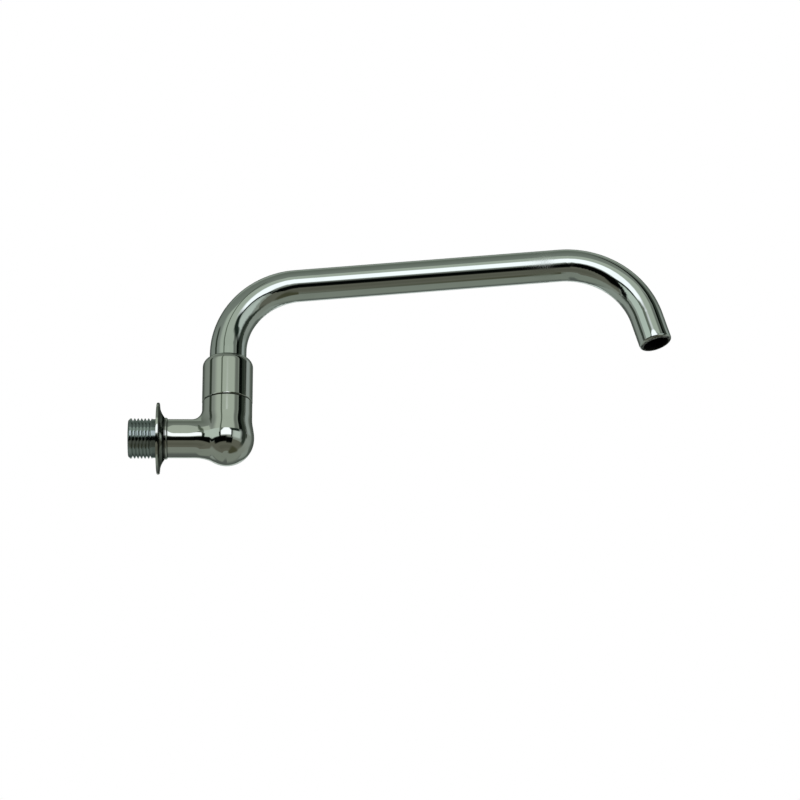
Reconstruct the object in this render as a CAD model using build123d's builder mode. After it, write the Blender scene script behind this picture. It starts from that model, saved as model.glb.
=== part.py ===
from build123d import *
from math import acos, degrees, radians, sqrt, tan
import os

# A swivel wall spout. The origin is the centre of the wall flange's back face.
# X runs out of the wall along the inlet, Z runs up the riser. Sizes are in millimetres.

# Inlet thread, a G 1/2 parallel pipe thread
thread_d = 20.955
thread_pitch = 1.814
thread_depth = 1.162
thread_flank_angle = 27.5
thread_root_width = 0.25
thread_length = 12.4
thread_lead = 1.1
neck_relief = 0.33
neck_length = 2.4
inlet_bore_d = 14.4
inlet_bore_depth = 28.8
waterway_d = 11.0
waterway_sump = 1.5

# Wall flange, pressed over the thread onto its seat and against the collar
flange_d = 37.5
flange_rim = 1.5
flange_rim_round = 0.55
flange_length = 3.9
flange_front_wall = 0.6
flange_cone_dip = 0.55
collar_lip = 0.2
collar_length = 1.7
collar_round = 0.6

# Arm and elbow
arm_step = 0.75
arm_reach = 36.4
ball_d = 28.6
mouth_inset = 1.2
mouth_height = 20.2
swell_height = 11.0
elbow_blend = 6.0
flare_radius = 22.0
flare_sink = 0.3
ball_foot_d = 1.0
mouth_edge = 0.45

# Gland in the elbow's mouth
gasket_thickness = 0.8
gland_thread_d = 20.0
gland_shank_length = 5.2
gland_flange_d = 24.4
gland_flange_thickness = 1.5
gland_groove_depth = 1.0
gland_groove_width = 0.7
gland_step_inset = 0.3
gland_step_thickness = 1.2
gland_hex_flats = 20.0
gland_hex_inset = 0.6
gland_hex_height = 3.6
gland_hex_turn = 30.0
gland_chamfer_width = 1.6
gland_chamfer_height = 0.8

# Swivel stem
stem_d = 13.5
stem_wall_at_seals = 0.75
stem_length_below_mouth = 14.2
stem_neck_above_gland = 1.5
cone_height = 3.4
stem_hex_flats = 19.6
stem_hex_inset = 1.1
stem_hex_height = 10.8
stem_hex_turn = 10.0
stem_hex_chamfer = 0.8
spigot_length = 5.0
stem_edge = 0.3

# Seals and the parts that hold the stem down
o_ring_groove_width = 2.0
o_ring_groove_depth = 1.5
o_ring_land = 0.8
retaining_ring_thickness = 1.1
retaining_groove_depth = 0.85
retaining_ring_opening = 50.0
chamber_d = 17.4
glide_washer_thickness = 0.75

# Cover sleeve
sleeve_wall = 0.7
sleeve_headroom = 1.5
sleeve_shoulder = 4.5
sleeve_edge = 0.4

# Spout tube
tube_root_d = 19.3
tube_run_d = 17.0
tube_tip_d = 17.5
tube_wall = 1.0
tube_rise = 5.6
first_bend_radius = 39.7
run_slope = 5.1
run_length = 139.2
second_bend_radius = 43.6
outlet_lean = 16.7
outlet_length = 15.7
outlet_lip_width = 2.05
outlet_lip_thickness = 1.6
outlet_round_share = 0.78
outlet_lip_round_share = 0.15

# Clearances, each on the radius or along the axis
flange_pass_clearance = 0.22
screw_clearance = 0.05
running_clearance = 0.05
seal_clearance = 0.03
seal_side_clearance = 0.1
braze_clearance = 0.05
press_clearance = 0.02
gasket_clearance = 0.1
washer_clearance = 0.05
ring_clearance = 0.15
seat_clearance = 0.1
sleeve_clearance = 0.25
sleeve_gland_clearance = 0.3
cut_margin = 1.0

# Places along the inlet, worked out from the sizes above
thread_start_x = -neck_length - thread_length
inlet_bore_end_x = thread_start_x + inlet_bore_depth
collar_x = flange_length
arm_x = collar_x + collar_length

# Heights up the riser
gland_base_z = mouth_height + gasket_thickness
gland_shank_z = gland_base_z - gland_shank_length
gland_groove_z = gland_base_z + gland_flange_thickness
gland_step_z = gland_groove_z + gland_groove_width
gland_hex_z = gland_step_z + gland_step_thickness
gland_top_z = gland_hex_z + gland_hex_height
mouth_bore_z = gland_shank_z - seat_clearance
upper_washer_z = gland_shank_z - washer_clearance - glide_washer_thickness
retaining_ring_z = upper_washer_z - washer_clearance - retaining_ring_thickness
lower_washer_z = retaining_ring_z - washer_clearance - glide_washer_thickness
chamber_z = lower_washer_z - washer_clearance
stem_foot_z = mouth_height - stem_length_below_mouth
seal_bore_z = stem_foot_z - seat_clearance
lower_groove_z = stem_foot_z + o_ring_land
upper_groove_z = lower_groove_z + o_ring_groove_width + o_ring_land
retaining_groove_z = retaining_ring_z - washer_clearance
cone_z = gland_top_z + stem_neck_above_gland
stem_hex_z = cone_z + cone_height
tube_foot_z = stem_hex_z + stem_hex_height
bend_start_z = tube_foot_z + tube_rise
sleeve_foot_z = mouth_height + seat_clearance
sleeve_top_z = tube_foot_z + sleeve_headroom

# Radii
thread_r = thread_d / 2
neck_r = thread_r - neck_relief
seat_r = thread_r + flange_pass_clearance
flange_front_r = seat_r + flange_front_wall
collar_r = seat_r + collar_lip
arm_r = collar_r - arm_step
ball_r = ball_d / 2
mouth_r = ball_r - mouth_inset
waterway_r = waterway_d / 2
mouth_bore_r = gland_thread_d / 2 + screw_clearance
gland_flange_r = gland_flange_d / 2
gland_groove_r = gland_flange_r - gland_groove_depth
gland_step_r = gland_flange_r - gland_step_inset
gland_corner_r = gland_step_r - gland_hex_inset
stem_corner_r = gland_flange_r - stem_hex_inset
chamber_r = chamber_d / 2
stem_r = stem_d / 2
running_bore_r = stem_r + running_clearance
o_ring_floor_r = stem_r - o_ring_groove_depth
o_ring_inner_r = o_ring_floor_r + seal_clearance
o_ring_outer_r = running_bore_r - seal_clearance
o_ring_half_width = o_ring_groove_width / 2 - seal_side_clearance
stem_bore_r = o_ring_floor_r - stem_wall_at_seals
retaining_floor_r = stem_r - retaining_groove_depth
retaining_ring_r = chamber_r - ring_clearance
washer_outer_r = chamber_r - gasket_clearance
sleeve_r = gland_flange_r + sleeve_gland_clearance + sleeve_wall
outlet_lip_r = tube_tip_d / 2 - outlet_lip_width

# The arm flares on an arc that runs just inside the ball
flare_turn = degrees(acos((arm_r + flare_radius) / (ball_r + flare_radius)))
flare_start = sqrt((ball_r + flare_radius) ** 2 - (arm_r + flare_radius) ** 2)
flare_x = arm_reach + flare_sink - flare_start

# The riser's profiles hold the radius along x and the height along z
riser_axis = Axis((arm_reach, 0, 0), (0, 0, 1))
riser_plane = Plane(origin=(arm_reach, 0, 0), x_dir=(1, 0, 0), z_dir=(0, -1, 0))

os.makedirs("parts", exist_ok=True)


def riser_level(height):
    """Flat plane across the riser at a height."""
    return Plane(origin=(arm_reach, 0, height))


# Elbow body: inlet thread, neck, flange seat, collar, arm and swollen elbow
with BuildPart() as elbow_body:
    with BuildSketch(Plane.XZ):
        with BuildLine():
            Polyline(
                (thread_start_x, 0),
                (thread_start_x, thread_r - thread_lead),
                (thread_start_x + thread_lead, thread_r),
                (-neck_length, thread_r),
                (-neck_length, neck_r),
                (0, neck_r),
                (0, seat_r),
                (collar_x, seat_r),
                (collar_x, collar_r),
                (arm_x, collar_r),
                (arm_x, arm_r),
                (flare_x, arm_r),
            )
            flare = CenterArc((flare_x, arm_r + flare_radius), flare_radius, -90, flare_turn)
            Polyline(flare @ 1, (arm_reach, (flare @ 1).Y), (arm_reach, 0), (thread_start_x, 0))
        make_face()
    revolve(axis=Axis.X)
    collar_rims = elbow_body.edges().filter_by(GeomType.CIRCLE).filter_by_position(Axis.X, arm_x, arm_x)
    fillet(collar_rims.sort_by(SortBy.RADIUS)[-1], radius=collar_round)
    with BuildSketch(riser_plane):
        with BuildLine():
            ball_arc = CenterArc((0, 0), ball_r, 0, -degrees(acos(ball_foot_d / ball_d)))
            Spline(
                (mouth_r, swell_height),
                (ball_r, 0),
                tangents=((0, -1), (0, -1)),
            )
            Polyline(
                (mouth_r, swell_height),
                (mouth_r, mouth_height),
                (0, mouth_height),
                (0, (ball_arc @ 1).Y),
                ball_arc @ 1,
            )
        make_face()
    revolve(axis=riser_axis)
    fillet(elbow_body.edges(Select.NEW), radius=elbow_blend)
    mouth_rim = elbow_body.edges().filter_by(GeomType.CIRCLE).sort_by(Axis.Z)[-1]
    chamfer(mouth_rim, length=mouth_edge)

    # Inlet bore, then the narrower waterway along the arm
    with BuildSketch(Plane.XZ):
        with BuildLine():
            Polyline(
                (thread_start_x, 0),
                (thread_start_x, inlet_bore_d / 2),
                (inlet_bore_end_x, inlet_bore_d / 2),
                (inlet_bore_end_x, waterway_r),
                (arm_reach, waterway_r),
                (arm_reach, 0),
                close=True,
            )
        make_face()
    revolve(axis=Axis.X, mode=Mode.SUBTRACT)

    # Riser bores: mouth, chamber, seal bore and waterway, down to a flat floor under the arm's bore
    with BuildSketch(riser_plane):
        with BuildLine():
            Polyline(
                (0, mouth_height),
                (mouth_bore_r, mouth_height),
                (mouth_bore_r, mouth_bore_z),
                (chamber_r, mouth_bore_z),
                (chamber_r, chamber_z),
                (running_bore_r, chamber_z),
                (running_bore_r, seal_bore_z),
                (waterway_r, seal_bore_z),
                (waterway_r, -waterway_r - waterway_sump),
                (0, -waterway_r - waterway_sump),
                close=True,
            )
        make_face()
    revolve(axis=riser_axis, mode=Mode.SUBTRACT)

    # Thread grooves, one ring for each pitch
    groove_top_r = thread_r + cut_margin
    groove_floor_r = thread_r - thread_depth
    groove_half_floor = thread_root_width / 2
    groove_half_top = groove_half_floor + (thread_depth + cut_margin) * tan(radians(thread_flank_angle))
    groove_count = int((thread_length - thread_lead) / thread_pitch)
    with BuildSketch(Plane.XZ):
        for turn in range(groove_count):
            groove_x = -neck_length - (turn + 0.5) * thread_pitch
            with BuildLine():
                Polyline(
                    (groove_x - groove_half_top, groove_top_r),
                    (groove_x - groove_half_floor, groove_floor_r),
                    (groove_x + groove_half_floor, groove_floor_r),
                    (groove_x + groove_half_top, groove_top_r),
                    close=True,
                )
            make_face()
    revolve(axis=Axis.X, mode=Mode.SUBTRACT)
elbow_body.part.label = "elbow_body"
export_step(elbow_body.part, "parts/elbow_body.step")

# Wall flange: flat back, thin rim and a hollowed cone down to the collar
flange_bore_r = seat_r + press_clearance
cone_middle_x = (flange_rim + flange_length) / 2 - flange_cone_dip
cone_middle_r = (flange_d / 2 + flange_front_r) / 2 - flange_cone_dip

with BuildPart() as wall_flange:
    with BuildSketch(Plane.XZ):
        with BuildLine():
            Polyline(
                (flange_length, flange_front_r),
                (flange_length, flange_bore_r),
                (0, flange_bore_r),
                (0, flange_d / 2),
                (flange_rim, flange_d / 2),
            )
            ThreePointArc(
                (flange_rim, flange_d / 2),
                (cone_middle_x, cone_middle_r),
                (flange_length, flange_front_r),
            )
        make_face()
    revolve(axis=Axis.X)
    rim_edges = wall_flange.edges().filter_by(GeomType.CIRCLE).sort_by(SortBy.RADIUS)[-2:]
    fillet(rim_edges, radius=flange_rim_round)
wall_flange.part.label = "wall_flange"
export_step(wall_flange.part, "parts/wall_flange.step")

# Gland gasket: flat ring between the mouth and the gland's flange
with BuildPart() as gland_gasket:
    with BuildSketch(riser_level(mouth_height)):
        Circle(gland_flange_r - gasket_clearance)
        Circle(gland_thread_d / 2 + gasket_clearance, mode=Mode.SUBTRACT)
    extrude(amount=gasket_thickness)
gland_gasket.part.label = "gland_gasket"
export_step(gland_gasket.part, "parts/gland_gasket.step")

# Gland nut: hex, stepped flange and the shank that screws into the mouth
with BuildPart() as gland_nut:
    with BuildSketch(riser_level(gland_hex_z)):
        RegularPolygon(gland_hex_flats / 2, 6, major_radius=False, rotation=gland_hex_turn)
    extrude(amount=gland_hex_height)
    with BuildSketch(riser_plane):
        with BuildLine():
            Polyline(
                (0, gland_hex_z),
                (gland_corner_r, gland_hex_z),
                (gland_corner_r, gland_top_z - gland_chamfer_height),
                (gland_corner_r - gland_chamfer_width, gland_top_z),
                (0, gland_top_z),
                close=True,
            )
        make_face()
    revolve(axis=riser_axis, mode=Mode.INTERSECT)
    with BuildSketch(riser_plane):
        with BuildLine():
            Polyline(
                (0, gland_shank_z),
                (gland_thread_d / 2, gland_shank_z),
                (gland_thread_d / 2, gland_base_z),
                (gland_flange_r, gland_base_z),
                (gland_flange_r, gland_groove_z),
                (gland_groove_r, gland_groove_z),
                (gland_groove_r, gland_step_z),
                (gland_step_r, gland_step_z),
                (gland_step_r, gland_hex_z),
                (0, gland_hex_z),
                close=True,
            )
        make_face()
    revolve(axis=riser_axis)
    with BuildSketch(riser_level(gland_shank_z)):
        Circle(running_bore_r)
    extrude(amount=gland_top_z - gland_shank_z, mode=Mode.SUBTRACT)
gland_nut.part.label = "gland_nut"
export_step(gland_nut.part, "parts/gland_nut.step")

# Swivel stem: hex and cone above the gland, neck, grooves for the ring and the seals below
with BuildPart() as swivel_stem:
    with BuildSketch(riser_level(stem_hex_z)):
        RegularPolygon(stem_hex_flats / 2, 6, major_radius=False, rotation=stem_hex_turn)
    extrude(amount=stem_hex_height)
    with BuildSketch(riser_plane):
        with BuildLine():
            Polyline(
                (0, stem_hex_z),
                (stem_corner_r - stem_hex_chamfer, stem_hex_z),
                (stem_corner_r, stem_hex_z + stem_hex_chamfer),
                (stem_corner_r, tube_foot_z - stem_hex_chamfer),
                (stem_corner_r - stem_hex_chamfer, tube_foot_z),
                (0, tube_foot_z),
                close=True,
            )
        make_face()
    revolve(axis=riser_axis, mode=Mode.INTERSECT)
    with BuildSketch(riser_plane):
        with BuildLine():
            Polyline(
                (0, stem_foot_z),
                (stem_r - stem_edge, stem_foot_z),
                (stem_r, stem_foot_z + stem_edge),
                (stem_r, cone_z),
                (stem_hex_flats / 2, stem_hex_z),
                (0, stem_hex_z),
                close=True,
            )
        make_face()
    revolve(axis=riser_axis)
    with BuildSketch(riser_level(tube_foot_z)):
        Circle(tube_root_d / 2 - tube_wall - braze_clearance)
    extrude(amount=spigot_length)
    with BuildSketch(riser_level(stem_foot_z)):
        Circle(stem_bore_r)
    extrude(amount=tube_foot_z + spigot_length - stem_foot_z, mode=Mode.SUBTRACT)
    for groove_z in (lower_groove_z, upper_groove_z):
        with BuildSketch(riser_level(groove_z)):
            Circle(stem_r + cut_margin)
            Circle(o_ring_floor_r, mode=Mode.SUBTRACT)
        extrude(amount=o_ring_groove_width, mode=Mode.SUBTRACT)
    with BuildSketch(riser_level(retaining_groove_z)):
        Circle(stem_r + cut_margin)
        Circle(retaining_floor_r, mode=Mode.SUBTRACT)
    extrude(amount=retaining_ring_thickness + 2 * washer_clearance, mode=Mode.SUBTRACT)
swivel_stem.part.label = "swivel_stem"
export_step(swivel_stem.part, "parts/swivel_stem.step")

# Lower O-ring, squeezed to an oval between the groove's floor and the seal bore
with BuildPart() as lower_o_ring:
    with BuildSketch(riser_plane):
        with Locations(((o_ring_inner_r + o_ring_outer_r) / 2, lower_groove_z + o_ring_groove_width / 2)):
            Ellipse((o_ring_outer_r - o_ring_inner_r) / 2, o_ring_half_width)
    revolve(axis=riser_axis)
lower_o_ring.part.label = "lower_o_ring"
export_step(lower_o_ring.part, "parts/lower_o_ring.step")

# Upper O-ring, the same ring in the groove above
with BuildPart() as upper_o_ring:
    with BuildSketch(riser_plane):
        with Locations(((o_ring_inner_r + o_ring_outer_r) / 2, upper_groove_z + o_ring_groove_width / 2)):
            Ellipse((o_ring_outer_r - o_ring_inner_r) / 2, o_ring_half_width)
    revolve(axis=riser_axis)
upper_o_ring.part.label = "upper_o_ring"
export_step(upper_o_ring.part, "parts/upper_o_ring.step")

# Retaining ring: split ring, sprung into the stem's groove
opening_reach = 2 * retaining_ring_r
opening_half = opening_reach * tan(radians(retaining_ring_opening / 2))

with BuildPart() as retaining_ring:
    with BuildSketch(riser_level(retaining_ring_z)):
        Circle(retaining_ring_r)
        Circle(retaining_floor_r + washer_clearance, mode=Mode.SUBTRACT)
        with BuildLine():
            Polyline((0, 0), (-opening_reach, opening_half), (-opening_reach, -opening_half), close=True)
        make_face(mode=Mode.SUBTRACT)
    extrude(amount=retaining_ring_thickness)
retaining_ring.part.label = "retaining_ring"
export_step(retaining_ring.part, "parts/retaining_ring.step")

# Lower glide washer, between the chamber's floor and the retaining ring
with BuildPart() as lower_glide_washer:
    with BuildSketch(riser_level(lower_washer_z)):
        Circle(washer_outer_r)
        Circle(running_bore_r, mode=Mode.SUBTRACT)
    extrude(amount=glide_washer_thickness)
lower_glide_washer.part.label = "lower_glide_washer"
export_step(lower_glide_washer.part, "parts/lower_glide_washer.step")

# Upper glide washer, between the retaining ring and the gland nut
with BuildPart() as upper_glide_washer:
    with BuildSketch(riser_level(upper_washer_z)):
        Circle(washer_outer_r)
        Circle(running_bore_r, mode=Mode.SUBTRACT)
    extrude(amount=glide_washer_thickness)
upper_glide_washer.part.label = "upper_glide_washer"
export_step(upper_glide_washer.part, "parts/upper_glide_washer.step")

# Cover sleeve: thin shell with a round shoulder that closes on the tube
shoulder_centre = (sleeve_r - sleeve_shoulder, sleeve_top_z - sleeve_shoulder)

with BuildPart() as cover_sleeve:
    with BuildSketch(riser_plane):
        with BuildLine():
            outer_shoulder = CenterArc(shoulder_centre, sleeve_shoulder, 0, 90)
            inner_shoulder = CenterArc(shoulder_centre, sleeve_shoulder - sleeve_wall, 0, 90)
            Polyline(
                outer_shoulder @ 0,
                (sleeve_r, sleeve_foot_z + sleeve_edge),
                (sleeve_r - sleeve_edge, sleeve_foot_z),
                (sleeve_r - sleeve_wall, sleeve_foot_z),
                inner_shoulder @ 0,
            )
            Line(outer_shoulder @ 1, inner_shoulder @ 1)
        make_face()
    revolve(axis=riser_axis)
    with BuildSketch(riser_level(sleeve_foot_z)):
        Circle(tube_root_d / 2 + sleeve_clearance)
    extrude(amount=sleeve_top_z - sleeve_foot_z, mode=Mode.SUBTRACT)
cover_sleeve.part.label = "cover_sleeve"
export_step(cover_sleeve.part, "parts/cover_sleeve.step")

# Spout tube: up from the hex, over the first bend, along the run and down through the second bend
with BuildLine(Plane.XZ) as tube_path:
    rise = Line((arm_reach, tube_foot_z), (arm_reach, bend_start_z))
    first_bend = JernArc(rise @ 1, rise % 1, first_bend_radius, run_slope - 90)
    run = Line(first_bend @ 1, first_bend @ 1 + (first_bend % 1) * run_length)
    second_bend = JernArc(run @ 1, run % 1, second_bend_radius, outlet_lean - run_slope - 90)
    outlet = Line(second_bend @ 1, second_bend @ 1 + (second_bend % 1) * outlet_length)

with BuildPart() as spout_tube:
    for wall, lip, side in ((0, 0, Mode.ADD), (tube_wall, outlet_lip_thickness, Mode.SUBTRACT)):
        with BuildSketch(Plane(rise @ 0, z_dir=rise % 0)):
            Circle(tube_root_d / 2 - wall)
        extrude(amount=tube_rise, mode=side)
        with BuildSketch(Plane(first_bend @ 0, z_dir=first_bend % 0)):
            Circle(tube_root_d / 2 - wall)
        with BuildSketch(Plane(first_bend @ 1, z_dir=first_bend % 1)):
            Circle(tube_run_d / 2 - wall)
        sweep(path=first_bend, multisection=True, mode=side)
        with BuildSketch(Plane(run @ 0, z_dir=run % 0)):
            Circle(tube_run_d / 2 - wall)
        extrude(amount=run_length, mode=side)
        with BuildSketch(Plane(second_bend @ 0, z_dir=second_bend % 0)):
            Circle(tube_run_d / 2 - wall)
        with BuildSketch(Plane(second_bend @ 1, z_dir=second_bend % 1)):
            Circle(tube_tip_d / 2 - wall)
        sweep(path=second_bend, multisection=True, mode=side)
        with BuildSketch(Plane(outlet @ 0, z_dir=outlet % 0)):
            Circle(tube_tip_d / 2 - wall)
        extrude(amount=outlet_length - lip, mode=side)

    # Outlet: hole through the rolled-in rim, then the rim's rounded outside and inside
    with BuildSketch(Plane(outlet @ 0, z_dir=outlet % 0)):
        Circle(outlet_lip_r)
    extrude(amount=outlet_length, mode=Mode.SUBTRACT)
    rim_face = spout_tube.faces().filter_by(GeomType.PLANE).sort_by_distance(outlet @ 1)[0]
    fillet(rim_face.edges().sort_by(SortBy.RADIUS)[-1], radius=outlet_lip_width * outlet_round_share)
    lip_edge = spout_tube.edges().filter_by(GeomType.CIRCLE).sort_by_distance(outlet @ 1)[0]
    fillet(lip_edge, radius=outlet_lip_width * outlet_lip_round_share)
spout_tube.part.label = "spout_tube"
export_step(spout_tube.part, "parts/spout_tube.step")
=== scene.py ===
import math

import bmesh
import bpy
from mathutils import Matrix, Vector

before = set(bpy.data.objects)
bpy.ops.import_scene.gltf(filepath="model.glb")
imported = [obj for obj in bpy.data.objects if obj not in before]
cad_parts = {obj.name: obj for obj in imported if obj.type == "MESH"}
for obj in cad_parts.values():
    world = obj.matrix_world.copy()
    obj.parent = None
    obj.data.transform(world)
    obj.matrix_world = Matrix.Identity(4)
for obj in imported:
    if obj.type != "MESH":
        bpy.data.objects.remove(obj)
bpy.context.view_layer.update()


# Elbow body. One brass casting: the inlet thread, the neck, the arm and the swollen elbow.
# The arm and the elbow are buffed and chromed to a mirror; the thread is cut first and only
# takes a thin, satin plating, with painted shade in its grooves; the bores stay dull and are
# painted dark as shade.
plating_colour = (0.62, 0.626, 0.62)
elbow_edge_tint = (0.55, 0.58, 0.55)
crest_colour = (0.385, 0.43, 0.455)
# The thread's grooves take a darker colour: painted shade
groove_shade_colour = (0.25, 0.285, 0.295)
# Painted shade inside the bores
bore_shade_colour = (0.10, 0.092, 0.075)
# Colour and roughness of the painted shade in corners, seams and near the flange's rim
painted_shade_colour = (0.012, 0.014, 0.012)
painted_shade_rough = 0.2
crest_rough = 0.08
groove_rough = 0.14
elbow_bore_rough = 0.5
thread_tones = (0.80, 1.10)
elbow_bore_tones = (0.5, 1.5)
# How much of each effect shows where it is full
# Painted shade in the corners beside the flange and the collar, and in the seam
flange_corner_shade = 0.85
collar_corner_shade = 0.6
seam_shade = 0.6
neck_dulling_and_shade = 0.8
thread_wear = 0.75
# Metres along the inlet, from where a change begins to where it is full
thread_start = (-0.0146, -0.0138)
neck_start = (-0.0026, -0.0022)
thread_stop = (-0.0004, -0.0001)
flange_corner = (0.0030, 0.0034)
flange_corner_end = (0.0043, 0.0052)
collar_corner = (0.0052, 0.0056)
collar_corner_end = (0.0058, 0.0064)
hollow_start = (0.0052, 0.0092)
hollow_end = (0.0155, 0.0245)
# Metres out from the inlet's axis, and up the riser, in the same way
flank_radius = (0.0086, 0.0090)
crest_radius = (0.0097, 0.0104)
seam_edge = (0.0198, 0.0200)
# The two bores, in metres
inlet_bore_radius = 0.0074
inlet_bore_end = 0.0285
riser_x = 0.0364
riser_bore_radius = 0.0102
riser_bore_foot = -0.009
# Heights in millimetres, angles in degrees
cut_mark_height = 0.0015
grain_height = 0.05
hollow_depth = 0.47
hollow_angle = 6.0
hollow_spread = 10.0


def new_finish(name, node_name):
    """A bare material in every slot of a CAD piece. Gives back its node tree and shader."""
    material = bpy.data.materials.new(name)
    material.use_nodes = True
    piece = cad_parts[node_name]
    for slot in piece.material_slots:
        slot.material = material
    tree = material.node_tree
    return tree, tree.nodes["Principled BSDF"]


def give(tree, socket, value):
    """A wire into a socket, or its plain value. A colour gets its fourth number here."""
    if isinstance(value, bpy.types.NodeSocket):
        tree.links.new(value, socket)
    elif socket.type == "RGBA":
        socket.default_value = (*value[:3], 1.0)
    else:
        socket.default_value = value


def put(tree, kind, inputs=None, **settings):
    """One node with its settings. Each input is a plain value or another node's socket."""
    node = tree.nodes.new(kind)
    for key, value in settings.items():
        setattr(node, key, value)
    for key, value in (inputs or {}).items():
        give(tree, node.inputs[key], value)
    return node


def calc(tree, operation, *values, clamp=False):
    """A Math node. Gives back its result."""
    inputs = dict(enumerate(values))
    return put(tree, "ShaderNodeMath", inputs, operation=operation, use_clamp=clamp).outputs[0]


def steer(tree, operation, *values):
    """A Vector Math node. Gives back its vector, or the number of a length or a dot product."""
    node = put(tree, "ShaderNodeVectorMath", dict(enumerate(values)), operation=operation)
    return node.outputs["Value" if operation in ("LENGTH", "DOT_PRODUCT") else "Vector"]


def ramp_between(tree, value, low, high):
    """0 below low, 1 above high, smooth between."""
    inputs = {"Value": value, "From Min": low, "From Max": high}
    node = put(tree, "ShaderNodeMapRange", inputs, interpolation_type="SMOOTHSTEP")
    return node.outputs["Result"]


def fall_between(tree, value, low, high):
    """1 below low, 0 above high, smooth between."""
    return calc(tree, "SUBTRACT", 1.0, ramp_between(tree, value, low, high))


def band(tree, value, rise, fall):
    """1 along a stretch that begins over one pair of limits and ends over another."""
    begun = ramp_between(tree, value, *rise)
    return calc(tree, "MULTIPLY", begun, fall_between(tree, value, *fall))


def distance(tree, first, second):
    """How far a point lies from an axis, by its two measures across it."""
    squares = calc(tree, "ADD", calc(tree, "POWER", first, 2.0), calc(tree, "POWER", second, 2.0))
    return calc(tree, "SQRT", squares)


def noise(tree, place, per_metre, detail, roughness=0.5):
    """Random mottle from 0 to 1."""
    inputs = {"Vector": place, "Scale": per_metre, "Detail": detail, "Roughness": roughness}
    return put(tree, "ShaderNodeTexNoise", inputs).outputs["Fac"]


def blend_numbers(tree, amount, under, over):
    """Two numbers mixed by an amount."""
    inputs = {"Factor": amount, "A": under, "B": over}
    return put(tree, "ShaderNodeMix", inputs).outputs["Result"]


def blend_colours(tree, amount, under, over):
    """Two colours mixed by an amount."""
    node = put(tree, "ShaderNodeMix", {"Factor": amount}, data_type="RGBA")
    first, second = [socket for socket in node.inputs if socket.type == "RGBA"]
    give(tree, first, under)
    give(tree, second, over)
    return [socket for socket in node.outputs if socket.type == "RGBA"][0]


def tinted(tree, colour, tone):
    """A plain colour made lighter and darker by a tone."""
    return steer(tree, "MULTIPLY", colour, tone)


def bumped(tree, height, **inputs):
    """The surface leaned by a height in millimetres."""
    inputs.update({"Strength": 1.0, "Distance": 0.001, "Height": height})
    return put(tree, "ShaderNodeBump", inputs).outputs[0]


def own_place(tree):
    """A point of the piece in its own coordinates, in metres."""
    return put(tree, "ShaderNodeTexCoord").outputs["Object"]


def split(tree, vector):
    """The three numbers of a vector."""
    return put(tree, "ShaderNodeSeparateXYZ", {0: vector}).outputs


def set_looks(tree, shader, looks):
    """Everything that a finish gives to its shader."""
    for name, value in looks.items():
        give(tree, shader.inputs[name], value)


def new_group(name, inputs, outputs):
    """A node group with its sockets, each of a kind. Gives back both its ends as well."""
    group = bpy.data.node_groups.new(name, "ShaderNodeTree")
    for direction, sockets in (("INPUT", inputs), ("OUTPUT", outputs)):
        for label, kind in sockets.items():
            group.interface.new_socket(label, in_out=direction, socket_type="NodeSocket" + kind)
    given = group.nodes.new("NodeGroupInput").outputs
    result = group.nodes.new("NodeGroupOutput").inputs
    return group, given, result


def use_group(tree, group, inputs):
    """A node group placed in a material with its own values."""
    return put(tree, "ShaderNodeGroup", inputs, node_tree=group).outputs


def buffed_plating_group():
    """Chrome over buffed metal: hazy patches, faint buffing marks and a slow waviness."""
    patch_levels = (0.45, 0.75)
    patch_rough = mark_rough = 0.03
    patch_tone = 0.04
    mark_height = 0.00002
    group, given, result = new_group(
        "buffed plating",
        {
            "Vector": "Vector", "Buffing Run": "Vector", "Wave Per Metre": "Float",
            "Wave Height": "Float", "Gloss Roughness": "Float",
        },
        {"Roughness": "Float", "Tone": "Float", "Height": "Float"},
    )
    haze = noise(group, given["Vector"], per_metre=70.0, detail=3.0, roughness=0.6)
    patches = ramp_between(group, haze, *patch_levels)
    run = steer(group, "MULTIPLY", given["Vector"], given["Buffing Run"])
    marks = noise(group, run, per_metre=1600.0, detail=2.0)
    waves = noise(group, given["Vector"], given["Wave Per Metre"], detail=1.0, roughness=0.4)
    rough = calc(group, "MULTIPLY_ADD", patches, patch_rough, given["Gloss Roughness"])
    around = calc(group, "SUBTRACT", marks, 0.5)
    rough = calc(group, "MULTIPLY_ADD", around, mark_rough, rough, clamp=True)
    give(group, result["Roughness"], rough)
    darker = calc(group, "MULTIPLY", patches, patch_tone)
    give(group, result["Tone"], calc(group, "SUBTRACT", 1.0, darker))
    wave = calc(group, "MULTIPLY", waves, given["Wave Height"])
    give(group, result["Height"], calc(group, "MULTIPLY_ADD", marks, mark_height, wave))
    return group


def worn_round_group():
    """Turned edges worn down: normals lean by a share to straight out from the inlet's axis."""
    group, given, result = new_group(
        "worn round", {"Vector": "Vector", "Share": "Float"}, {"Normal": "Vector"},
    )
    across_axis = steer(group, "MULTIPLY", given["Vector"], (0.0, 1.0, 1.0))
    outward = steer(group, "NORMALIZE", across_axis)
    own = put(group, "ShaderNodeTexCoord").outputs["Normal"]
    lean = steer(group, "SUBTRACT", outward, own)
    eased = steer(group, "MULTIPLY_ADD", lean, given["Share"], own)
    turned = put(
        group, "ShaderNodeVectorTransform", {0: eased},
        vector_type="NORMAL", convert_from="OBJECT", convert_to="WORLD",
    )
    give(group, result["Normal"], turned.outputs[0])
    return group


buffed_plating = buffed_plating_group()
worn_round = worn_round_group()

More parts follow.
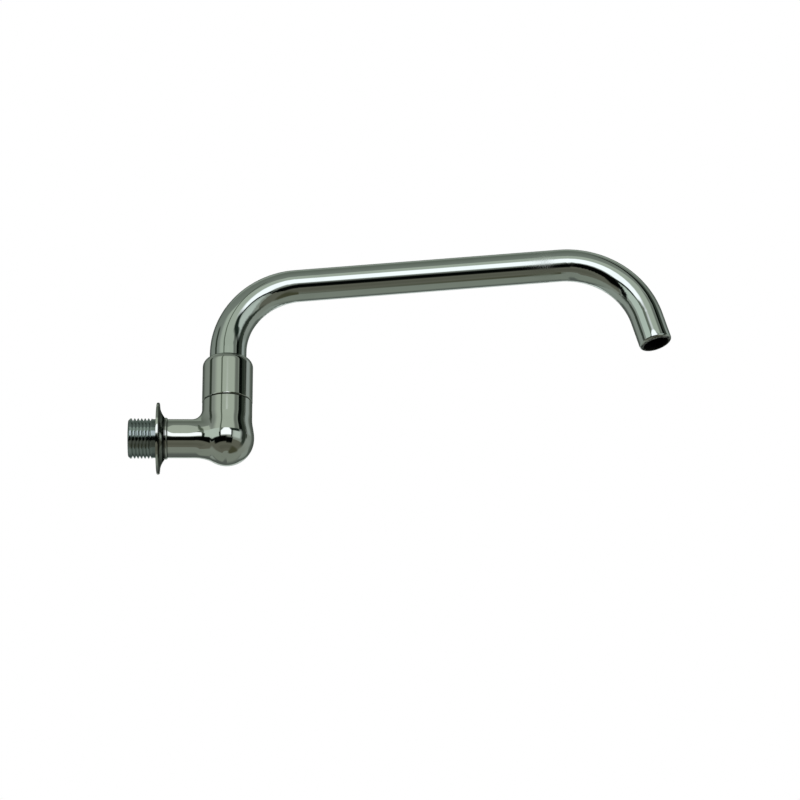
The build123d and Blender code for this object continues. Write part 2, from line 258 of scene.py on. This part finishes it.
tree, shader = new_finish("elbow chrome", "elbow_body")
place = own_place(tree)
x, y, z = split(tree, place)
plating = use_group(tree, buffed_plating, {
    "Vector": place, "Buffing Run": (1.0, 0.12, 0.5), "Wave Per Metre": 120.0,
    "Wave Height": 0.012, "Gloss Roughness": 0.04,
})
on_thread = fall_between(tree, x, *thread_stop)
inlet_radius = distance(tree, y, z)
in_inlet = calc(
    tree, "MULTIPLY",
    calc(tree, "LESS_THAN", inlet_radius, inlet_bore_radius),
    calc(tree, "LESS_THAN", x, inlet_bore_end),
)
riser_radius = distance(tree, calc(tree, "SUBTRACT", x, riser_x), y)
in_riser = calc(
    tree, "MULTIPLY",
    calc(tree, "LESS_THAN", riser_radius, riser_bore_radius),
    calc(tree, "GREATER_THAN", z, riser_bore_foot),
)
in_bore = calc(tree, "MAXIMUM", in_inlet, in_riser)
# The die leaves fine marks round the thread; the bores keep the grain of the sand
round_thread = steer(tree, "MULTIPLY", place, (1.0, 0.04, 0.04))
cut_marks = noise(tree, round_thread, per_metre=2200.0, detail=1.0)
cast_grain = noise(tree, place, per_metre=900.0, detail=4.0)
thread_tone = blend_numbers(tree, cut_marks, *thread_tones)
# Painted shade: the grooves, and the neck beside the flange, are coloured darker than the crests
on_neck = calc(tree, "MULTIPLY", ramp_between(tree, x, *neck_start), neck_dulling_and_shade)
off_neck = calc(tree, "SUBTRACT", 1.0, on_neck)
on_crest = calc(tree, "MULTIPLY", ramp_between(tree, inlet_radius, *crest_radius), off_neck)
in_groove = tinted(tree, groove_shade_colour, thread_tone)
thread_plating = blend_colours(tree, on_crest, in_groove, tinted(tree, crest_colour, thread_tone))
colour = tinted(tree, plating_colour, plating["Tone"])
colour = blend_colours(tree, on_thread, colour, thread_plating)
# Painted shade darkens the corners beside the flange and the collar and the seam under the sleeve
at_flange = calc(tree, "MULTIPLY", band(tree, x, flange_corner, flange_corner_end), flange_corner_shade)
past_collar = calc(tree, "MULTIPLY", band(tree, x, collar_corner, collar_corner_end), collar_corner_shade)
in_seam = calc(tree, "MULTIPLY", ramp_between(tree, z, *seam_edge), seam_shade)
painted_shade = calc(tree, "MAXIMUM", calc(tree, "MAXIMUM", at_flange, past_collar), in_seam)
colour = blend_colours(tree, painted_shade, colour, painted_shade_colour)
# Painted shade: the bores are coloured dark, with the grain of the sand
bore_tone = blend_numbers(tree, cast_grain, *elbow_bore_tones)
colour = blend_colours(tree, in_bore, colour, tinted(tree, bore_shade_colour, bore_tone))
thread_rough = blend_numbers(tree, on_crest, groove_rough, crest_rough)
rough = blend_numbers(tree, on_thread, plating["Roughness"], thread_rough)
rough = blend_numbers(tree, in_bore, rough, elbow_bore_rough)
rough = blend_numbers(tree, painted_shade, rough, painted_shade_rough)
thread_marks = calc(tree, "MULTIPLY", cut_marks, on_thread)
height = calc(tree, "MULTIPLY_ADD", thread_marks, cut_mark_height, plating["Height"])
bore_grain = calc(tree, "MULTIPLY", cast_grain, in_bore)
height = calc(tree, "MULTIPLY_ADD", bore_grain, grain_height, height)
# Where the casting's seam was ground away, a shallow hollow runs along each side of the arm
side = calc(tree, "DEGREES", calc(tree, "ARCTAN2", z, calc(tree, "ABSOLUTE", y)))
from_hollow = calc(tree, "DIVIDE", calc(tree, "SUBTRACT", side, hollow_angle), hollow_spread)
fall_off = calc(tree, "MULTIPLY", calc(tree, "POWER", from_hollow, 2.0), -0.5)
hollow = calc(tree, "EXPONENT", fall_off)
hollow = calc(tree, "MULTIPLY", hollow, band(tree, x, hollow_start, hollow_end))
height = calc(tree, "MULTIPLY_ADD", hollow, -hollow_depth, height)
# The thread's flanks are worn round, but not its chamfered start
worn = calc(tree, "MULTIPLY", on_thread, ramp_between(tree, inlet_radius, *flank_radius))
worn = calc(tree, "MULTIPLY", worn, ramp_between(tree, x, *thread_start))
wear = calc(tree, "MULTIPLY", worn, thread_wear)
rounded = use_group(tree, worn_round, {"Vector": place, "Share": wear})["Normal"]
set_looks(tree, shader, {
    "Base Color": colour, "Roughness": rough, "Normal": bumped(tree, height, Normal=rounded),
    "Metallic": 1.0, "Specular Tint": elbow_edge_tint,
})


# Wall flange. A thin brass ring turned with a hollowed cone, chromed, and pressed on the neck
# against the collar. The turning leaves faint rings; the plating is dull near the rim, and
# painted shade darkens it towards the rim and at the cone's foot beside the collar.
flange_edge_tint = (0.2, 0.22, 0.2)
flange_ring_pitch = 0.00045
flange_ring_depth = 0.0006
flange_ring_rough = 0.07
rim_wear = 0.8
# Painted shade towards the rim and at the cone's foot
rim_shade = 0.75
cone_foot_shade = 0.9
# Metres out from the neck's axis, and away from the wall
dark_radius = (0.0150, 0.0176)
rim_radius = (0.0178, 0.0182)
dark_face = (0.0009, 0.0014)
cone_foot = (0.0027, 0.0034)


def turned_rings_group():
    """Rings that a lathe leaves: even grooves with an uneven depth, by the way along the cut."""
    group, given, result = new_group(
        "turned rings",
        {"Distance": "Float", "Pitch": "Float", "Depth": "Float"},
        {"Rings": "Float", "Height": "Float"},
    )
    turns = calc(group, "DIVIDE", given["Distance"], given["Pitch"])
    swing = calc(group, "SINE", calc(group, "MULTIPLY", turns, 2 * math.pi))
    even = calc(group, "MULTIPLY_ADD", swing, 0.5, 0.5)
    uneven = put(
        group, "ShaderNodeTexNoise", {"W": turns, "Scale": 1.0, "Detail": 2.0},
        noise_dimensions="1D",
    ).outputs["Fac"]
    rings = calc(group, "MULTIPLY", even, uneven)
    give(group, result["Rings"], rings)
    give(group, result["Height"], calc(group, "MULTIPLY", rings, given["Depth"]))
    return group


turned_rings = turned_rings_group()

tree, shader = new_finish("flange chrome", "wall_flange")
place = own_place(tree)
x, y, z = split(tree, place)
radius = distance(tree, y, z)
plating = use_group(tree, buffed_plating, {
    "Vector": place, "Buffing Run": (1.0, 1.0, 1.0), "Wave Per Metre": 160.0,
    "Wave Height": 0.004, "Gloss Roughness": 0.05,
})
rings = use_group(tree, turned_rings, {
    "Distance": radius, "Pitch": flange_ring_pitch, "Depth": flange_ring_depth,
})
# Painted shade: darker towards the rim and at the cone's foot
near_rim = calc(
    tree, "MULTIPLY",
    ramp_between(tree, radius, *dark_radius),
    ramp_between(tree, x, *dark_face),
)
at_foot = ramp_between(tree, x, *cone_foot)
dark = calc(
    tree, "MAXIMUM",
    calc(tree, "MULTIPLY", near_rim, rim_shade),
    calc(tree, "MULTIPLY", at_foot, cone_foot_shade),
)
colour = blend_colours(tree, dark, tinted(tree, plating_colour, plating["Tone"]), painted_shade_colour)
rough = calc(tree, "MULTIPLY_ADD", rings["Rings"], flange_ring_rough, plating["Roughness"])
rough = blend_numbers(tree, dark, rough, painted_shade_rough)
height = calc(tree, "ADD", plating["Height"], rings["Height"])
# Buffing flattened the rounding of the rim, so it shines like a narrow straight edge
on_rim = calc(tree, "MULTIPLY", ramp_between(tree, radius, *rim_radius), rim_wear)
rounded = use_group(tree, worn_round, {"Vector": place, "Share": on_rim})["Normal"]
set_looks(tree, shader, {
    "Base Color": colour, "Roughness": rough, "Normal": bumped(tree, height, Normal=rounded),
    "Metallic": 1.0, "Specular Tint": flange_edge_tint,
})


# Swivel stem and gland nut. Both are turned from hexagonal brass bar and left bare: bright
# where the tool passed, a little brown in the grooves and tarnished in soft patches.
brass_colour = (0.80, 0.60, 0.24)
brown_colour = (0.34, 0.21, 0.06)
brass_ring_pitch = 0.00025
brass_ring_depth = 0.003
clean_brass_rough = 0.16
ring_dulling = 0.12
ring_browning = 0.25
stain_levels = (0.48, 0.78)
stain_dulling = 0.16
stain_browning = 0.45


def bare_brass(name, node_name):
    """Turned brass, with rings round the riser and tarnish in patches."""
    tree, shader = new_finish(name, node_name)
    place = own_place(tree)
    rings = use_group(tree, turned_rings, {
        "Distance": split(tree, place)["Z"], "Pitch": brass_ring_pitch, "Depth": brass_ring_depth,
    })
    tarnish = noise(tree, place, per_metre=140.0, detail=5.0, roughness=0.65)
    stain = ramp_between(tree, tarnish, *stain_levels)
    stained = calc(tree, "MULTIPLY", stain, stain_browning)
    brown = calc(tree, "MULTIPLY_ADD", rings["Rings"], ring_browning, stained)
    rough = calc(tree, "MULTIPLY_ADD", rings["Rings"], ring_dulling, clean_brass_rough)
    rough = calc(tree, "MULTIPLY_ADD", stain, stain_dulling, rough)
    set_looks(tree, shader, {
        "Base Color": blend_colours(tree, brown, brass_colour, brown_colour),
        "Roughness": rough, "Normal": bumped(tree, rings["Height"]), "Metallic": 1.0,
    })


bare_brass("stem brass", "swivel_stem")
bare_brass("gland brass", "gland_nut")


# O-rings and gland gasket. Black nitrile rubber, moulded and cut, wiped with a little grease
# that shines in patches.
rubber_colour = (0.013, 0.013, 0.014)
grease_colour = (0.035, 0.034, 0.032)
dry_rubber_rough = (0.55, 0.70)
grease_levels = (0.45, 0.6)
grease_shine = 0.25
grain_paleness = 0.6
rubber_grain_height = 0.02


def black_rubber(name, node_name):
    """Moulded rubber: fine grain, and grease where it rubs."""
    tree, shader = new_finish(name, node_name)
    place = own_place(tree)
    grain = noise(tree, place, per_metre=2400.0, detail=3.0)
    grease = noise(tree, place, per_metre=260.0, detail=2.0)
    greasy = ramp_between(tree, grease, *grease_levels)
    pale = calc(tree, "MULTIPLY", grain, grain_paleness)
    rough = blend_numbers(tree, grain, *dry_rubber_rough)
    rough = calc(tree, "SUBTRACT", rough, calc(tree, "MULTIPLY", greasy, grease_shine))
    height = calc(tree, "MULTIPLY", grain, rubber_grain_height)
    set_looks(tree, shader, {
        "Base Color": blend_colours(tree, pale, rubber_colour, grease_colour),
        "Roughness": rough, "Normal": bumped(tree, height),
    })


black_rubber("lower seal rubber", "lower_o_ring")
black_rubber("upper seal rubber", "upper_o_ring")
black_rubber("gasket rubber", "gland_gasket")


# Glide washers and retaining ring. The washers are stamped from white acetal sheet; the ring
# is spring steel wire, rolled flat, with a satin face.
washer_colour = (0.72, 0.71, 0.67)
washer_tones = (0.92, 1.04)
washer_rough = (0.3, 0.5)
washer_grain_height = 0.01
steel_colour = (0.47, 0.46, 0.44)
steel_tones = (0.85, 1.15)
steel_rough = (0.22, 0.42)


def stamped_acetal(name, node_name):
    """White plastic sheet with a faint mottle, a little clear at its edges."""
    tree, shader = new_finish(name, node_name)
    place = own_place(tree)
    mottle = noise(tree, place, per_metre=500.0, detail=4.0)
    tone = blend_numbers(tree, mottle, *washer_tones)
    set_looks(tree, shader, {
        "Base Color": tinted(tree, washer_colour, tone),
        "Roughness": blend_numbers(tree, mottle, *washer_rough),
        "Normal": bumped(tree, calc(tree, "MULTIPLY", mottle, washer_grain_height)),
        "Subsurface Weight": 0.1, "Subsurface Scale": 0.001,
    })


stamped_acetal("lower washer acetal", "lower_glide_washer")
stamped_acetal("upper washer acetal", "upper_glide_washer")

tree, shader = new_finish("spring steel", "retaining_ring")
rolled = noise(tree, own_place(tree), per_metre=1500.0, detail=3.0)
tone = blend_numbers(tree, rolled, *steel_tones)
set_looks(tree, shader, {
    "Base Color": tinted(tree, steel_colour, tone),
    "Roughness": blend_numbers(tree, rolled, *steel_rough), "Metallic": 1.0,
})


# Spout tube. Thin drawn brass tube, bent twice, its outlet rolled in to a small rim; buffed
# lengthwise and chromed outside, and left dull inside, where the outlet shows it, with painted
# shade darkening it.
tube_colour = (0.605, 0.626, 0.632)
tube_edge_tint = (0.7, 0.72, 0.7)
rim_colour = (0.50, 0.48, 0.50)
# Painted shade inside the bore, over the scale of the anneal
tube_bore_shade_colour = (0.035, 0.032, 0.028)
tube_bore_tones = (0.4, 1.4)
tube_bore_rough = 0.62
clamp_rough = 0.26
nick_levels = (0.3, 0.75)
# How much slower the drawing lines change along the arm than across it
line_stretch = 0.03
# The tube's middle line, in metres: up, round, along the run, round again and down to the end
rise_top = 0.0493
first_bend_radius = 0.0397
run_start = (0.07257, 0.0, 0.08884)
run_line = (0.99604, 0.0, 0.08889)
under_run_line = (run_line[2], 0.0, -run_line[0])
run_length = 0.1392
bend_radius = 0.0436
outlet_end = (0.26137, 0.0, 0.05528)
outlet_run = (0.2874, 0.0, -0.9578)
under_outlet_run = (outlet_run[2], 0.0, -outlet_run[0])
outlet_length = 0.0157
# The walls inside, and how far past the second bend's centre they begin to show
tube_bore_radius = 0.0081
lip_bore_radius = 0.0069
bore_shown_from = 0.005
# Metres along the outlet or the run, from where a change begins to where it is full
lip_start = (-0.0019, -0.0016)
rim_start = (-0.0006, -0.0002)
clamp_start = (run_length - 0.036, run_length - 0.004)
clamp_end = (run_length - 0.009, run_length + 0.006)
roll_length = 0.005
# Heights in millimetres
roll_depth = 0.27
line_height = 0.008
scale_height = 0.05

tree, shader = new_finish("tube chrome", "spout_tube")
place = own_place(tree)
plating = use_group(tree, buffed_plating, {
    "Vector": place, "Buffing Run": (0.12, 1.0, 1.0), "Wave Per Metre": 60.0,
    "Wave Height": 0.012, "Gloss Roughness": 0.035,
})
# The distance from the outlet's axis tells the wall inside from the wall outside
from_end = steer(tree, "SUBTRACT", place, outlet_end)
outlet_radius = steer(tree, "LENGTH", steer(tree, "CROSS_PRODUCT", from_end, outlet_run))
along = steer(tree, "DOT_PRODUCT", from_end, outlet_run)
at_lip = ramp_between(tree, along, *lip_start)
in_outlet = calc(tree, "GREATER_THAN", along, -outlet_length)
limit = blend_numbers(tree, at_lip, tube_bore_radius, lip_bore_radius)
in_straight = calc(tree, "MULTIPLY", calc(tree, "LESS_THAN", outlet_radius, limit), in_outlet)
# Above it the same for the bend, by the distance from the bend's own circle
bend_centre = (
    outlet_end[0] - outlet_run[0] * outlet_length + outlet_run[2] * bend_radius,
    0.0,
    outlet_end[2] - outlet_run[2] * outlet_length - outlet_run[0] * bend_radius,
)
from_centre = steer(tree, "SUBTRACT", place, bend_centre)
bend_x, bend_y, bend_z = split(tree, from_centre)
off_circle = calc(tree, "SUBTRACT", distance(tree, bend_x, bend_z), bend_radius)
in_bend = calc(
    tree, "MULTIPLY",
    calc(tree, "LESS_THAN", distance(tree, off_circle, bend_y), tube_bore_radius),
    calc(
        tree, "MULTIPLY",
        calc(tree, "GREATER_THAN", bend_x, bore_shown_from),
        calc(tree, "SUBTRACT", 1.0, in_outlet),
    ),
)
in_bore = calc(tree, "MAXIMUM", in_straight, in_bend)
# Drawing lines run lengthwise, so they follow the distance from the tube's middle line
from_run = steer(tree, "SUBTRACT", place, run_start)
along_run = steer(tree, "DOT_PRODUCT", from_run, run_line)
first_centre = (riser_x + first_bend_radius, 0.0, rise_top)
from_first = split(tree, steer(tree, "SUBTRACT", place, first_centre))
in_rise = calc(tree, "LESS_THAN", from_first["Z"], 0.0)
past_first = calc(tree, "GREATER_THAN", along_run, 0.0)
past_run = calc(tree, "GREATER_THAN", along_run, run_length)
first_radius = distance(tree, from_first["X"], from_first["Z"])
inside = calc(tree, "SUBTRACT", first_bend_radius, first_radius)
inside_rise = calc(tree, "ADD", from_first["X"], first_bend_radius)
inside = blend_numbers(tree, in_rise, inside, inside_rise)
under_run = steer(tree, "DOT_PRODUCT", from_run, under_run_line)
inside = blend_numbers(tree, past_first, inside, under_run)
inside = blend_numbers(tree, past_run, inside, calc(tree, "MULTIPLY", off_circle, -1.0))
under_outlet = steer(tree, "DOT_PRODUCT", from_end, under_outlet_run)
inside = blend_numbers(tree, in_outlet, inside, under_outlet)
along_and_across = split(tree, place)
lengthwise = put(tree, "ShaderNodeCombineXYZ", {
    "X": calc(tree, "MULTIPLY", along_and_across["X"], line_stretch),
    "Y": along_and_across["Y"], "Z": inside,
}).outputs[0]
drawing_lines = noise(tree, lengthwise, per_metre=420.0, detail=2.0, roughness=0.45)
scale_grain = noise(tree, place, per_metre=1100.0, detail=4.0)
# The rim is nicked and dull, and the bore keeps the scale of the anneal under painted shade
nicks = noise(tree, place, per_metre=650.0, detail=2.0)
nicked = tinted(tree, rim_colour, ramp_between(tree, nicks, *nick_levels))
colour = tinted(tree, tube_colour, plating["Tone"])
colour = blend_colours(tree, ramp_between(tree, along, *rim_start), colour, nicked)
scale_and_shade = tinted(tree, tube_bore_shade_colour, blend_numbers(tree, scale_grain, *tube_bore_tones))
colour = blend_colours(tree, in_bore, colour, scale_and_shade)
# The bender's clamp dulled the last of the run, just before the second bend
clamped = band(tree, along_run, clamp_start, clamp_end)
dulled = calc(tree, "MULTIPLY", clamped, clamped)
rough = calc(tree, "MULTIPLY_ADD", dulled, clamp_rough, plating["Roughness"])
rough = blend_numbers(tree, in_bore, rough, tube_bore_rough)
height = calc(tree, "MULTIPLY_ADD", drawing_lines, line_height, plating["Height"])
# The last of the tube is rolled in a little
past_roll = calc(tree, "MAXIMUM", calc(tree, "ADD", along, roll_length), 0.0)
rolled_in = calc(tree, "POWER", past_roll, 2.0)
height = calc(tree, "MULTIPLY_ADD", rolled_in, -roll_depth / roll_length**2, height)
bore_scale = calc(tree, "MULTIPLY", scale_grain, in_bore)
height = calc(tree, "MULTIPLY_ADD", bore_scale, scale_height, height)
set_looks(tree, shader, {
    "Base Color": colour, "Roughness": rough, "Normal": bumped(tree, height),
    "Metallic": 1.0, "Specular Tint": tube_edge_tint,
})


# Cover sleeve. A thin brass shell, spun over at the shoulder until it closes on the tube, and
# chromed. It slides up the tube to free the gland nut.
sleeve_edge_tint = (0.6, 0.62, 0.6)
sleeve_ring_pitch = 0.0006
sleeve_ring_depth = 0.0001
sleeve_ring_rough = 0.02
sleeve_foot = 0.0203
# Where painted shade darkens the foot's edge, and how much
shade_edge = (sleeve_foot + 0.0002, sleeve_foot + 0.0004)
foot_shade = 0.6
spin_length = 0.0008
spin_depth = 0.07
spin_levels = (0.36, 0.56)

tree, shader = new_finish("sleeve chrome", "cover_sleeve")
place = own_place(tree)
up_riser = split(tree, place)["Z"]
plating = use_group(tree, buffed_plating, {
    "Vector": place, "Buffing Run": (0.3, 0.3, 1.0), "Wave Per Metre": 90.0,
    "Wave Height": 0.004, "Gloss Roughness": 0.035,
})
rings = use_group(tree, turned_rings, {
    "Distance": up_riser, "Pitch": sleeve_ring_pitch, "Depth": sleeve_ring_depth,
})
rough = calc(tree, "MULTIPLY_ADD", rings["Rings"], sleeve_ring_rough, plating["Roughness"])
height = calc(tree, "ADD", plating["Height"], rings["Height"])
# The foot is spun in a little, not everywhere as much, and painted shade darkens its edge in the
# seam
past_spin = calc(tree, "SUBTRACT", sleeve_foot + spin_length, up_riser)
spun_in = calc(tree, "POWER", calc(tree, "MAXIMUM", past_spin, 0.0), 2.0)
uneven = noise(tree, place, per_metre=420.0, detail=1.0)
spun_in = calc(tree, "MULTIPLY", spun_in, ramp_between(tree, uneven, *spin_levels))
height = calc(tree, "MULTIPLY_ADD", spun_in, -spin_depth / spin_length**2, height)
# Painted shade along the foot, in the seam with the elbow
at_foot = calc(tree, "MULTIPLY", fall_between(tree, up_riser, *shade_edge), foot_shade)
colour = blend_colours(tree, at_foot, tinted(tree, plating_colour, plating["Tone"]), painted_shade_colour)
set_looks(tree, shader, {
    "Base Color": colour, "Roughness": rough, "Normal": bumped(tree, height),
    "Metallic": 1.0, "Specular Tint": sleeve_edge_tint,
})


# Floor. A wide sheet of pale paper, far below the spout, which hangs free as on its wall. It
# pales into the backdrop further off, and the chrome sees the room instead of it.
floor_height = -2.0
floor_reach = 60.0
floor_colour = (0.90, 0.90, 0.895)
pulp_tones = (0.99, 1.01)
pale_from = 1.5
white_from = 6.0
near_glow = 0.12
far_glow = 0.25

floor_mesh = bpy.data.meshes.new("floor")
sheet = bmesh.new()
bmesh.ops.create_grid(sheet, x_segments=1, y_segments=1, size=floor_reach)
bmesh.ops.translate(sheet, verts=sheet.verts, vec=(0.0, 0.0, floor_height))
sheet.to_mesh(floor_mesh)
sheet.free()
floor = bpy.data.objects.new("floor", floor_mesh)
bpy.context.scene.collection.objects.link(floor)
floor_material = bpy.data.materials.new("pale paper")
floor_material.use_nodes = True
tree = floor_material.node_tree
place = own_place(tree)
pulp = noise(tree, place, per_metre=3.0, detail=3.0)
pulp_tone = blend_numbers(tree, pulp, *pulp_tones)
seen = put(tree, "ShaderNodeLightPath").outputs["Is Camera Ray"]
far_off = ramp_between(tree, steer(tree, "LENGTH", place), pale_from, white_from)
glow = calc(tree, "MULTIPLY_ADD", far_off, far_glow, near_glow)
set_looks(tree, tree.nodes["Principled BSDF"], {
    "Base Color": tinted(tree, floor_colour, pulp_tone), "Roughness": 0.9,
    "Emission Color": (1.0, 1.0, 1.0), "Emission Strength": calc(tree, "MULTIPLY", seen, glow),
})
floor_mesh.materials.append(floor_material)
floor.visible_glossy = False


# Room round the spout, seen only in the metal: a bright window ahead, pale walls beside it, a
# dark gap under it and a brown floor. Each colour is written as it shows in the chrome. What
# the camera sees past the spout is plain white.
room_by_height = (
    (-90, (114, 121, 110)), (-60, (115, 123, 111)), (-30, (119, 126, 115)), (0, (128, 136, 127)),
    (25, (123, 132, 121)), (45, (100, 109, 99)), (62, (108, 116, 108)), (90, (92, 101, 90)),
)
# Left, right, foot and top in degrees, softness across and up, arch of the top, colour
room_panels = (
    ("wall behind, left", -200, -130, -60, 45, 10, 14, 0, (84, 90, 84)),
    ("wall behind, right", 128, 200, -35, 45, 10, 14, 0, (86, 93, 86)),
    ("floor behind, left", -168, -110, -66, -38, 4, 4, 0, (115, 123, 111)),
    ("ceiling behind, left", -200, -125, 50, 74, 8, 4, 0, (138, 148, 136)),
    ("ceiling behind, right", 125, 200, 50, 74, 8, 4, 0, (138, 148, 136)),
    ("curtain behind, left", -150, -104, -34, -6, 6, 2, 0, (128, 137, 127)),
    ("curtain behind, right", 122, 150, -34, -6, 6, 2, 0, (126, 135, 125)),
    ("window behind, left", -200, -163, -9, 12, 3, 1.5, 0, (205, 214, 208)),
    ("window behind, right", 163, 200, -9, 12, 3, 1.5, 0, (205, 214, 208)),
    ("brown floor", -84, 87, -76, -22, 8, 1.5, 0, (88, 90, 78)),
    ("joint in the floor", -50, 90, -64, -48, 5, 2, 0, (82, 84, 72)),
    ("dark mat", 34, 94, -82, -50, 14, 5, 0, (62, 64, 47)),
    ("ceiling", -54, 66, 21, 46, 12, 1.5, 0, (154, 165, 150)),
    ("door, right", 54, 75, -12, 78, 2.4, 6, 0, (6, 10, 7)),
    ("door, middle", 72, 89, -28, 62, 4, 12, 0, (40, 48, 40)),
    ("door, edge", 83, 95, 2, 58, 1.5, 5, 0, (54, 60, 52)),
    ("far wall, right", 99, 120, 18, 40, 2, 4, 0, (138, 148, 141)),
    ("shade, left", -89, -75, -19, 40, 3.5, 3, 0, (44, 52, 42)),
    ("wall, left", -63, -22, -22, 22.5, 2.5, 1.5, 0, (169, 183, 170)),
    ("wall, right", 28, 64, -13, 19, 9, 5, 0, (169, 181, 171)),
    ("post, right", 35, 53, 19, 45, 5, 1.5, 0, (98, 105, 96)),
    ("window post, left", -28, -22, -15, 60, 2, 1.5, 0, (72, 82, 68)),
    ("foot of that post", -30.5, -23.5, -15, 8, 1.4, 2.5, 0, (20, 28, 22)),
    ("window post, right", 20, 25.5, -14, 21.5, 1.2, 1, 0, (6, 16, 14)),
    ("beam, right", 12, 56, 14, 22, 6, 2, 0, (24, 34, 28)),
    ("gap under the window, left", -60, 3, -34.5, -10, 6, 2.5, 0, (3, 4, 3)),
    ("gap under the window, right", -0.5, 29, -40, -15, 1.5, 4.5, 0, (3, 5, 4)),
    ("end of that gap", -76, -55, -21, -12, 4, 1.2, 0, (8, 10, 8)),
    ("window frame", -26.5, -1, 15.5, 24, 0.9, 1, 0, (94, 103, 91)),
    ("window", -22.5, 20, -5.5, 23.8, 1, 2.2, 0.024, (249, 256, 255)),
)
soft_light_strength = 0.5


def as_light(red, green, blue):
    """Linear light that shows as this screen colour in the plating."""
    values = []
    for shown, share in zip((red, green, blue), plating_colour):
        level = shown / 255.0
        linear = ((level + 0.055) / 1.055) ** 2.4 if level > 0.04045 else level / 12.92
        values.append(linear / share)
    return tuple(values)


def room_panel_group():
    """One soft-edged panel on the walls of the room, laid over what is behind it."""
    group, given, result = new_group(
        "room panel",
        {
            "Across": "Float", "Up": "Float", "Behind": "Color", "Panel": "Color",
            "Left": "Float", "Right": "Float", "Foot": "Float", "Top": "Float",
            "Soft Across": "Float", "Soft Up": "Float", "Arch": "Float",
        },
        {"Colour": "Color"},
    )

    def past(value, limit, soft):
        """1 beyond a limit of the panel, over its softness."""
        low = calc(group, "SUBTRACT", given[limit], given[soft])
        high = calc(group, "ADD", given[limit], given[soft])
        return ramp_between(group, value, low, high)

    def short_of(value, limit, soft):
        """1 before a limit of the panel."""
        return calc(group, "SUBTRACT", 1.0, past(value, limit, soft))

    # An arched top falls away from straight ahead
    aside = calc(group, "POWER", calc(group, "ABSOLUTE", given["Across"]), 2.0)
    arched = calc(group, "MULTIPLY_ADD", aside, given["Arch"], given["Up"])
    inside = past(given["Across"], "Left", "Soft Across")
    inside = calc(group, "MULTIPLY", inside, past(given["Up"], "Foot", "Soft Up"))
    inside = calc(group, "MULTIPLY", inside, short_of(given["Across"], "Right", "Soft Across"))
    inside = calc(group, "MULTIPLY", inside, short_of(arched, "Top", "Soft Up"))
    give(group, result["Colour"], blend_colours(group, inside, given["Behind"], given["Panel"]))
    return group


world = bpy.data.worlds.new("studio")
bpy.context.scene.world = world
world.use_nodes = True
tree = world.node_tree
tree.nodes.clear()
heading = put(tree, "ShaderNodeTexCoord").outputs["Generated"]
ahead_x, ahead_y, ahead_z = split(tree, heading)
turn = calc(tree, "ARCTAN2", ahead_x, calc(tree, "MULTIPLY", ahead_y, -1.0))
across = calc(tree, "DEGREES", turn)
up = calc(tree, "DEGREES", calc(tree, "ARCSINE", ahead_z))
walls = put(tree, "ShaderNodeValToRGB", {"Fac": calc(tree, "MULTIPLY_ADD", up, 1.0 / 180.0, 0.5)})
stops = walls.color_ramp.elements
for number, (level, colour) in enumerate(room_by_height):
    stop = stops[number] if number < 2 else stops.new(0.5)
    stop.position = level / 180.0 + 0.5
    stop.color = (*as_light(*colour), 1.0)
room = walls.outputs["Color"]
room_panel = room_panel_group()
for name, left, right, foot, top, soft_across, soft_up, arch, colour in room_panels:
    room = use_group(tree, room_panel, {
        "Across": across, "Up": up, "Behind": room, "Panel": as_light(*colour),
        "Left": left, "Right": right, "Foot": foot, "Top": top,
        "Soft Across": soft_across, "Soft Up": soft_up, "Arch": arch,
    })["Colour"]
rays = put(tree, "ShaderNodeLightPath").outputs
white = (1.0, 1.0, 1.0)
soft_light = put(tree, "ShaderNodeBackground", {"Color": white, "Strength": soft_light_strength})
room_light = put(tree, "ShaderNodeBackground", {"Color": room, "Strength": 1.0})
backdrop = put(tree, "ShaderNodeBackground", {"Color": white, "Strength": 1.0})
in_metal = put(tree, "ShaderNodeMixShader", {
    0: rays["Is Glossy Ray"], 1: soft_light.outputs[0], 2: room_light.outputs[0],
})
plain = calc(tree, "MAXIMUM", rays["Is Camera Ray"], rays["Is Transmission Ray"])
all_rays = put(tree, "ShaderNodeMixShader", {
    0: plain, 1: in_metal.outputs[0], 2: backdrop.outputs[0],
})
put(tree, "ShaderNodeOutputWorld", {"Surface": all_rays.outputs[0]})


# Lamps. One broad soft key from the upper left and a weaker fill from the right, wide enough
# to leave no hard shadow.
lamp_spread = 50.0

for name, turn, lean, strength in (("key", -35.0, 40.0, 1.3), ("fill", 60.0, 60.0, 0.5)):
    lamp = bpy.data.lights.new(name, "SUN")
    lamp.energy = strength
    lamp.angle = math.radians(lamp_spread)
    stand = bpy.data.objects.new(name, lamp)
    stand.rotation_euler = (math.radians(lean), 0.0, math.radians(turn))
    stand.visible_glossy = False
    bpy.context.scene.collection.objects.link(stand)


# Camera. A long lens two and a half metres off, which looks up at the spout from a little below
# and square to its arm.
looked_at = Vector((0.1226, 0.0, 0.045))
towards_camera = Vector((-0.00481, -0.90313, -0.42933)).normalized()
camera_distance = 2.4225

camera_data = bpy.data.cameras.new("camera")
camera_data.sensor_width = 36.0
camera_data.lens = 207.7
camera_data.shift_x = 0.00965
camera_data.shift_y = -0.04867
camera_data.clip_end = 200.0
camera = bpy.data.objects.new("camera", camera_data)
camera.location = looked_at + towards_camera * camera_distance
camera.rotation_euler = towards_camera.to_track_quat("Z", "Y").to_euler()
bpy.context.scene.collection.objects.link(camera)
bpy.context.scene.camera = camera
bpy.context.scene.view_settings.view_transform = "Standard"
